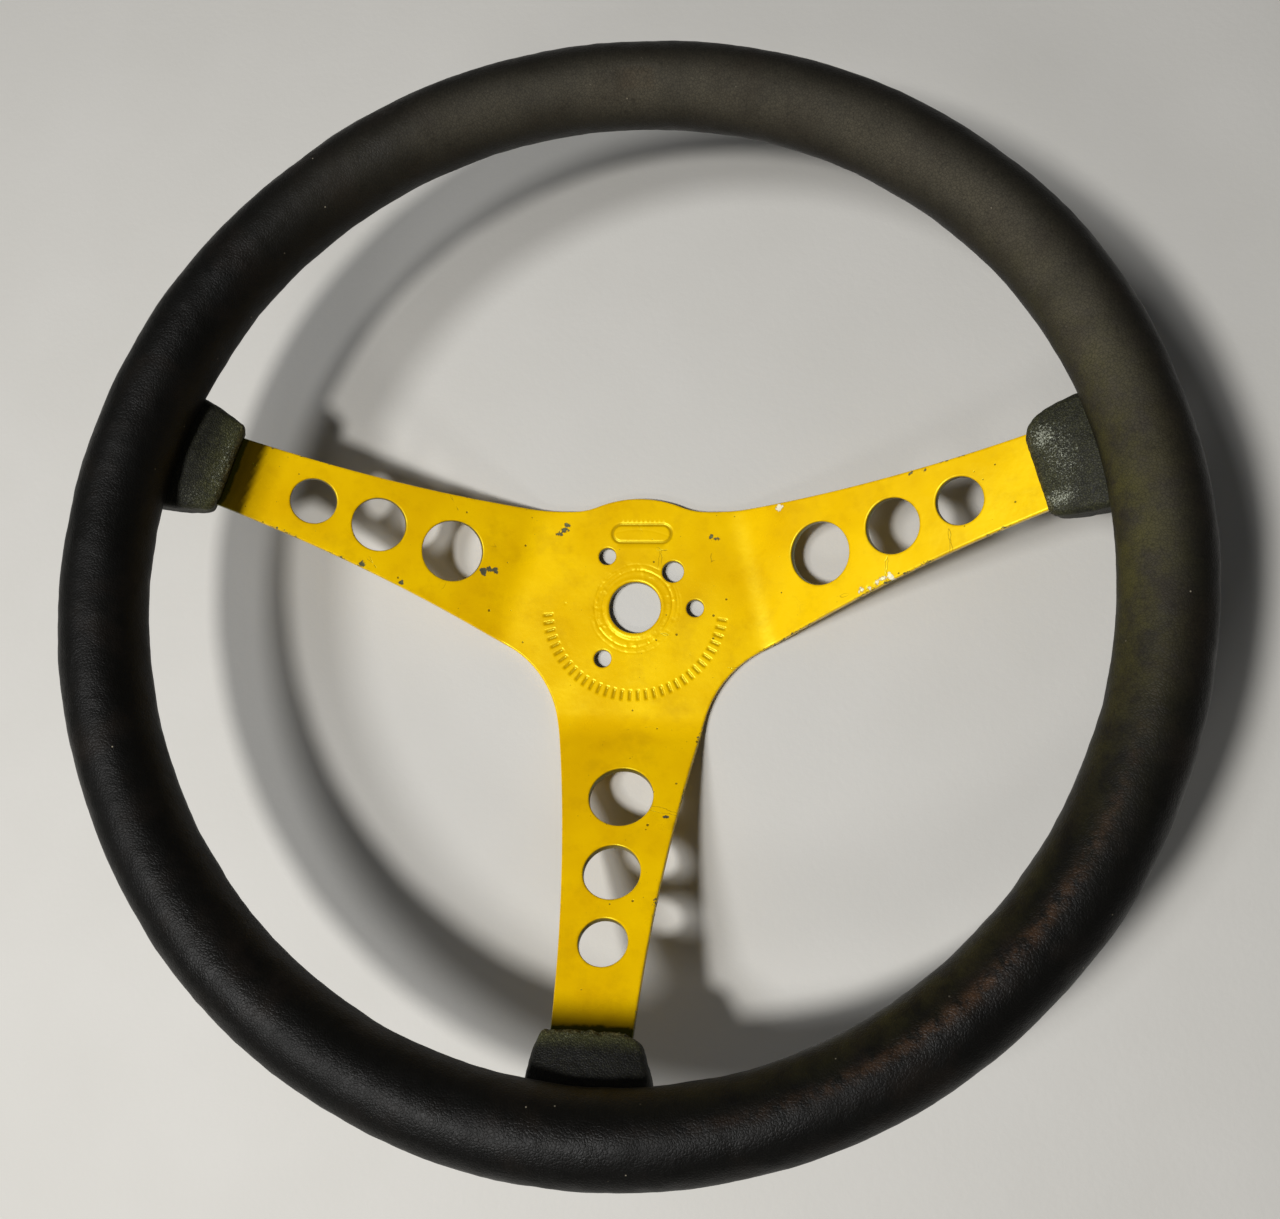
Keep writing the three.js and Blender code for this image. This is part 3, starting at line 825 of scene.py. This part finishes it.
class Graph:
    """A material's node tree, built one node at a time."""

    def __init__(self, name, **constants):
        self.material = bpy.data.materials.new(name)
        self.material.use_nodes = True
        self.tree = self.material.node_tree
        self.tree.nodes.clear()
        self.shader = self.tree.nodes.new("ShaderNodeBsdfPrincipled")
        output = self.tree.nodes.new("ShaderNodeOutputMaterial")
        self.tree.links.new(self.shader.outputs[0], output.inputs[0])
        for socket, value in constants.items():
            self.shader.inputs[socket.replace("_", " ")].default_value = value
        self.place = self.node("ShaderNodeTexCoord").outputs["Object"]

    def node(self, kind, inputs=None, **settings):
        made = self.tree.nodes.new(kind)
        for key, value in settings.items():
            setattr(made, key, value)
        for socket, value in (inputs or {}).items():
            self.put(value, made.inputs[socket])
        return made

    def put(self, value, socket):
        if isinstance(value, bpy.types.NodeSocket):
            self.tree.links.new(value, socket)
        else:
            socket.default_value = value

    def attribute(self, name):
        return self.node("ShaderNodeAttribute", attribute_name=name).outputs["Fac"]

    def noise(self, size, detail=3.0, rough=0.55, place=None, distortion=0.0):
        """Noise of about 0 to 1 with lumps of a size in millimetres."""
        inputs = {
            "Vector": place or self.place,
            "Scale": 1 / (size * MM),
            "Detail": detail,
            "Roughness": rough,
            "Distortion": distortion,
        }
        return self.node("ShaderNodeTexNoise", inputs).outputs["Fac"]

    def cells(self, size, feature="F1"):
        """Distance in a cell pattern of a size in millimetres, as a share of that size."""
        inputs = {"Vector": self.place, "Scale": 1 / (size * MM)}
        made = self.node("ShaderNodeTexVoronoi", inputs, feature=feature)
        return made.outputs["Distance"]

    def math(self, operation, first, second=0.0):
        inputs = {0: first, 1: second}
        return self.node("ShaderNodeMath", inputs, operation=operation).outputs[0]

    def span(self, value, low, high, to_low=0.0, to_high=1.0):
        """A value stretched smoothly from one span to another, and held at its ends."""
        inputs = {
            "Value": value,
            "From Min": low,
            "From Max": high,
            "To Min": to_low,
            "To Max": to_high,
        }
        made = self.node("ShaderNodeMapRange", inputs, interpolation_type="SMOOTHSTEP")
        return made.outputs["Result"]

    def mix(self, share, first, second):
        """The first colour where share is 0, and the second where it is 1."""
        made = self.node("ShaderNodeMix", data_type="RGBA", clamp_factor=True)
        for socket, value in ((0, share), (6, first), (7, second)):
            self.put(value, made.inputs[socket])
        return made.outputs[2]

    def stretched(self, scale):
        """Object coordinates scaled along each axis."""
        inputs = {"Vector": self.place, "Scale": scale}
        return self.node("ShaderNodeMapping", inputs).outputs[0]

    def bump(self, height):
        """A normal from a height in millimetres."""
        inputs = {"Height": height, "Distance": MM, "Strength": 1.0}
        return self.node("ShaderNodeBump", inputs).outputs[0]

    def finish(self, **sockets):
        for socket, value in sockets.items():
            self.put(value, self.shader.inputs[socket.replace("_", " ")])
        return self.material


def paint_material():
    """Thick glossy repaint over steel, with orange peel, dirt, pinholes, hair cracks and chips."""
    g = Graph("yellow_repaint", IOR=1.5, Specular_IOR_Level=0.9, Specular_Tint=(0.9, 1.0, 0.1, 1))
    broad = g.noise(38, 3)
    small = g.noise(6, 4)
    colour = g.mix(g.span(broad, 0.35, 0.68), PAINT_DEEP, PAINT_BRIGHT)
    colour = g.mix(g.span(small, 0.5, 0.75, 0, 0.2), colour, PAINT_SHADE)
    grime = g.math("MULTIPLY", g.span(g.noise(14, 5, 0.65), 0.5, 0.72), 0.22)
    colour = g.mix(grime, colour, PAINT_GRIME)

    # Dirt has settled in the stamping and along the edges.
    edge = g.attribute("edge_distance")
    stamp = g.math("MULTIPLY", g.attribute("stamped"), 0.6)
    colour = g.mix(stamp, colour, STAMP_DIRT)
    near_edge = g.math("MULTIPLY", g.span(edge, 0.1, 1.3, 1, 0), g.span(g.noise(5, 5, 0.7), 0.42, 0.66))
    colour = g.mix(g.math("MULTIPLY", near_edge, 0.3), colour, EDGE_DIRT)

    # Pinholes and specks of dirt.
    specks = g.cells(5.2)
    speck_size = g.span(g.noise(21, 2), 0.35, 0.75, 0.0, 0.085)
    speck = g.span(g.math("SUBTRACT", specks, speck_size), 0.0, 0.03, 1, 0)
    fine_specks = g.span(g.cells(2.3), 0.05, 0.09, 1, 0)
    fine_speck = g.math("MULTIPLY", fine_specks, g.span(g.noise(9, 2), 0.56, 0.62))
    dark = g.math("MAXIMUM", speck, g.math("MULTIPLY", fine_speck, 0.7))
    colour = g.mix(g.math("MULTIPLY", dark, 0.85), colour, PAINT_SPECK)

    # Hair cracks and scratches.
    wander = g.noise(11, 3, distortion=0.6)
    crack_cells = g.cells(34, "DISTANCE_TO_EDGE")
    crack_line = g.math("ADD", crack_cells, g.math("MULTIPLY", g.math("SUBTRACT", wander, 0.5), 0.16))
    crack = g.span(g.math("ABSOLUTE", crack_line), 0.0, 0.0045, 1, 0)
    crack = g.math("MULTIPLY", crack, g.span(g.noise(24, 2), 0.55, 0.6))
    colour = g.mix(g.math("MULTIPLY", crack, 0.7), colour, HAIR_CRACK)

    # Chips through to steel and to primer, and edges knocked bare.
    ragged = g.math("MULTIPLY", g.math("SUBTRACT", g.noise(1.1, 5, 0.75), 0.5), 3.2)
    torn = g.math("MULTIPLY", g.math("SUBTRACT", g.noise(3.4, 2), 0.5), 5.0)
    ragged = g.math("ADD", ragged, torn)
    steel_line = g.math("ADD", g.attribute("steel_chip"), ragged)
    steel = g.span(steel_line, -0.08, 0.06, 1, 0)
    outer = g.attribute("outline_distance")
    nick_zone = g.span(g.noise(19, 2), 0.52, 0.64)
    nick_depth = g.math("MULTIPLY", g.span(g.noise(1.7, 5, 0.8), 0.5, 0.72, 0.0, 1.5), nick_zone)
    nick = g.span(g.math("SUBTRACT", outer, nick_depth), -0.2, 0.0, 1, 0)
    bare = g.math("MAXIMUM", steel, nick)
    primer_line = g.math("ADD", g.attribute("primer_chip"), ragged)
    primer = g.span(primer_line, -0.08, 0.06, 1, 0)
    halo = g.span(g.math("MINIMUM", steel_line, primer_line), 0.0, 0.45, 0.5, 0)
    colour = g.mix(halo, colour, CHIP_HALO)
    steel_colour = g.mix(g.noise(0.8, 4), BARE_STEEL_DARK, BARE_STEEL_LIGHT)
    colour = g.mix(bare, colour, steel_colour)
    colour = g.mix(primer, colour, PRIMER)

    # Painted shade on the walls in the holes, and painted shadow beside the boots.
    colour = g.mix(g.math("MULTIPLY", g.attribute("hole_painted_shade"), 0.88), colour, HOLE_PAINTED_SHADE)
    painted_shadow = g.attribute("boot_painted_shadow")
    colour = g.mix(g.math("MULTIPLY", painted_shadow, 0.97), colour, PAINTED_BOOT_SHADOW)

    peel = g.math("MULTIPLY", g.noise(2.6, 2), 0.05)
    grit = g.math("MULTIPLY", g.noise(0.5, 2), 0.008)
    dips = g.math("MULTIPLY", g.math("MAXIMUM", bare, g.math("MAXIMUM", primer, dark)), -0.07)
    height = g.math("ADD", g.math("ADD", peel, grit), dips)
    height = g.math("ADD", height, g.math("MULTIPLY", crack, -0.04))
    rough = g.span(g.noise(17, 4), 0.3, 0.7, 0.27, 0.36)
    rough = g.math("ADD", rough, g.math("MULTIPLY", bare, 0.25))
    # The painted shadow is glossier too, so that it shows no sheen of the lamps.
    rough = g.math("SUBTRACT", rough, g.math("MULTIPLY", painted_shadow, 0.14))
    return g.finish(Base_Color=colour, Roughness=rough, Normal=g.bump(height))


def foam_material():
    """Skinned foam rubber: fine leathery grain, ground-in dust, olive and rust stains, pale lint."""
    g = Graph("skinned_foam", IOR=1.45, Specular_IOR_Level=0.12)
    dusty = g.math("MULTIPLY", g.attribute("dusty"), g.span(g.noise(24, 4), 0.25, 0.65, 0.6, 1.0))
    speckle = g.noise(0.8, 3, 0.75)
    colour = g.mix(g.noise(4, 5, 0.65), FOAM_BLACK, FOAM_GREY)
    colour = g.mix(dusty, colour, g.mix(speckle, DUST_DARK, DUST_PALE))
    warm = g.span(g.noise(19, 4), 0.48, 0.72, 0, 0.3)
    colour = g.mix(warm, colour, FOAM_BROWN)
    olive = g.math("MULTIPLY", g.attribute("olive"), g.span(g.noise(9, 5, 0.7), 0.3, 0.66))
    colour = g.mix(g.math("MULTIPLY", olive, 0.66), colour, OLIVE_FILM)
    rust = g.math("MULTIPLY", g.attribute("rust"), g.span(g.noise(4, 5, 0.7), 0.36, 0.62))
    colour = g.mix(g.math("MULTIPLY", rust, 0.42), colour, RUST_FILM)
    dent = g.math("MULTIPLY", g.attribute("dent"), g.noise(2, 3))
    colour = g.mix(g.math("MULTIPLY", dent, 0.3), colour, DENT_FILM)

    # Grain: small closed cells between fine creases, and lint caught in it.
    creases = g.cells(0.95, "DISTANCE_TO_EDGE")
    colour = g.mix(g.span(creases, 0.0, 0.12, 0.4, 0), colour, FOAM_CREASE)
    fleck = g.span(speckle, 0.66, 0.74, 0, 0.5)
    fleck = g.math("MULTIPLY", fleck, g.span(g.noise(7, 3), 0.45, 0.62, 0.15, 1.0))
    colour = g.mix(g.math("MULTIPLY", fleck, dusty), colour, DUST_FLECK)
    lint = g.span(g.cells(6.5), 0.025, 0.045, 1, 0)
    lint = g.math("MULTIPLY", lint, g.span(g.noise(12, 2), 0.45, 0.58))
    colour = g.mix(g.math("MULTIPLY", lint, 0.75), colour, LINT)

    height = g.math("MULTIPLY", g.span(creases, 0.0, 0.25), 0.04)
    height = g.math("ADD", height, g.math("MULTIPLY", g.noise(1.3, 4, 0.65), 0.12))
    height = g.math("ADD", height, g.math("MULTIPLY", g.noise(6, 3), 0.16))
    rough = g.span(g.noise(22, 4), 0.3, 0.7, 0.4, 0.5)
    rough = g.math("ADD", rough, g.math("MULTIPLY", dusty, 0.34))
    return g.finish(Base_Color=colour, Roughness=rough, Normal=g.bump(height))


def boot_material():
    """Moulded rubber with a coarser, shinier grain, olive grime and painted glints."""
    g = Graph("grained_rubber", IOR=1.5, Specular_IOR_Level=0.22)
    colour = g.mix(g.noise(3, 5, 0.65), RUBBER_BLACK, RUBBER_GREY)
    olive = g.math("MULTIPLY", g.attribute("olive"), g.span(g.noise(3.4, 5, 0.7), 0.25, 0.6, 0.3, 1.0))
    colour = g.mix(g.math("MULTIPLY", olive, 0.85), colour, RUBBER_OLIVE)
    wear = g.math("MULTIPLY", g.attribute("edge_wear"), g.span(g.noise(1.2, 4), 0.4, 0.6))
    colour = g.mix(g.math("MULTIPLY", wear, 0.6), colour, WORN_EDGE)
    creases = g.cells(0.8, "DISTANCE_TO_EDGE")
    colour = g.mix(g.span(creases, 0.0, 0.14, 0.6, 0), colour, RUBBER_CREASE)
    grit = g.math("MULTIPLY", g.span(g.noise(0.6, 2, 0.8), 0.52, 0.66), g.math("ADD", olive, 0.15))
    colour = g.mix(g.math("MULTIPLY", grit, 0.55), colour, RUBBER_GRIT)

    # Painted glints: pale specks in the colour, for the shine of worn high spots, mostly in a few
    # patches.
    patch = g.attribute("painted_glint")
    line = g.math("SUBTRACT", 0.64, g.math("MULTIPLY", patch, 0.2))
    raised = g.math("SUBTRACT", g.noise(0.5, 3, 0.75, distortion=0.8), line)
    painted_glint = g.math("MULTIPLY", g.span(raised, 0.0, 0.16), g.span(patch, 0.0, 0.5, 0.1, 1.0))
    colour = g.mix(g.math("MULTIPLY", painted_glint, 0.75), colour, PAINTED_GLINT_COLOUR)
    height = g.math("MULTIPLY", g.span(creases, 0.0, 0.25), 0.08)
    height = g.math("ADD", height, g.math("MULTIPLY", g.noise(1.6, 4, 0.6), 0.14))
    rough = g.math("SUBTRACT", 0.58, g.math("MULTIPLY", painted_glint, 0.25))
    return g.finish(Base_Color=colour, Roughness=rough, Normal=g.bump(height))


def steel_material(name, dark, light, grain):
    """Mill-finished or burnt steel for the pieces inside the grip."""
    g = Graph(name, Metallic=1.0)
    stretched = g.stretched((0.2, 0.2, 3.0))
    colour = g.mix(g.noise(grain, 5, 0.65), srgb(*dark), srgb(*light))
    colour = g.mix(g.span(g.noise(6, 4), 0.55, 0.7, 0, 0.6), colour, STEEL_RUST)
    height = g.math("MULTIPLY", g.noise(grain, 4, place=stretched), 0.05)
    rough = g.span(g.noise(4, 3), 0.3, 0.7, 0.38, 0.6)
    return g.finish(Base_Color=colour, Roughness=rough, Normal=g.bump(height))


def floor_material():
    """A plain pale table top."""
    g = Graph("pale_table", IOR=1.4)
    colour = g.mix(g.noise(60, 3), FLOOR_DEEP, FLOOR_BRIGHT)
    height = g.math("MULTIPLY", g.noise(2.5, 3), 0.08)
    return g.finish(Base_Color=colour, Roughness=0.7, Normal=g.bump(height))


# --- Camera, light and floor

TARGET = Vector((1.54, -0.19, 0)) * MM  # what the camera points at
CAMERA_DISTANCE = 414.4 * MM
CAMERA_AZIMUTH = math.radians(37.58)
CAMERA_ELEVATION = math.radians(76.22)
CAMERA_ROLL = math.radians(-35.98)
CAMERA_LENS = 31.52
SENSOR_WIDTH = 36
NEAR_CLIP = 10 * MM
FLOOR_DROP = 0.4  # below the hub's back face
FLOOR_HALF = 2500.0


def add_camera():
    data = bpy.data.cameras.new("camera")
    data.lens = CAMERA_LENS
    data.sensor_width = SENSOR_WIDTH
    data.clip_start = NEAR_CLIP
    camera = bpy.data.objects.new("camera", data)
    bpy.context.scene.collection.objects.link(camera)
    level = math.cos(CAMERA_ELEVATION)
    back = Vector((
        math.sin(CAMERA_AZIMUTH) * level,
        -math.cos(CAMERA_AZIMUTH) * level,
        math.sin(CAMERA_ELEVATION),
    ))
    camera.location = TARGET + back * CAMERA_DISTANCE
    camera.rotation_mode = "QUATERNION"
    turn = Quaternion((0, 0, 1), CAMERA_ROLL)
    camera.rotation_quaternion = (-back).to_track_quat("-Z", "Y") @ turn
    bpy.context.scene.camera = camera


WARM_WHITE = (1.0, 0.985, 0.965)
COOL_WHITE = (0.985, 0.99, 1.0)
SKY = (0.93, 0.96, 1.0, 1)


def add_light(name, direction, distance, size, power, colour):
    """A round soft box that faces the wheel from a direction, at a distance in metres."""
    data = bpy.data.lights.new(name, "AREA")
    data.shape = "DISK"
    data.size = size
    data.energy = power
    data.color = colour
    light = bpy.data.objects.new(name, data)
    bpy.context.scene.collection.objects.link(light)
    towards = Vector(direction).normalized()
    light.location = towards * distance
    light.rotation_mode = "QUATERNION"
    light.rotation_quaternion = towards.to_track_quat("Z", "Y")


def add_world(colour, strength):
    world = bpy.data.worlds.new("studio")
    world.use_nodes = True
    background = world.node_tree.nodes["Background"]
    background.inputs["Color"].default_value = colour
    background.inputs["Strength"].default_value = strength
    bpy.context.scene.world = world


def add_floor():
    corners = [(-1, -1), (1, -1), (1, 1), (-1, 1)]
    vertices = [(x * FLOOR_HALF, y * FLOOR_HALF, -FLOOR_DROP) for x, y in corners]
    floor = new_object("floor", vertices, [(0, 1, 2, 3)], None, floor_material())


add_camera()
add_floor()
add_light("near_lamp", (-0.298, -0.275, 0.914), 0.968, 0.11, 5.9, WARM_WHITE)
add_light("far_key", (-0.46, -0.19, 0.867), 4.0, 0.8, 66, COOL_WHITE)
add_light("low_key", (-0.325, -0.653, 0.684), 1.5, 0.25, 1.9, WARM_WHITE)
add_world(SKY, 0.06)
bpy.context.scene.view_settings.view_transform = "Standard"


# --- The object

paint = paint_material()
plate = plate_mesh(paint)
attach(plate, "root")
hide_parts("spoke_plate")

grip = grip_mesh(foam_material())
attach(grip, "root")
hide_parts("rim_grip")

rubber = boot_material()
for side in SPOKE_ANGLES:
    boot = boot_mesh(side, rubber)
    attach(boot, "root")
    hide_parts("boot_" + side)

hoop_steel = steel_material("hoop_steel", (96, 94, 90), (138, 136, 130), 1.4)
weld_steel = steel_material("weld_steel", (62, 56, 52), (120, 112, 104), 0.8)
for name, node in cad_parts.items():
    if name == "rim_hoop":
        node.data.materials.clear()
        node.data.materials.append(hoop_steel)
    elif name == "hoop_joint" or name.startswith("weld_"):
        node.data.materials.clear()
        node.data.materials.append(weld_steel)
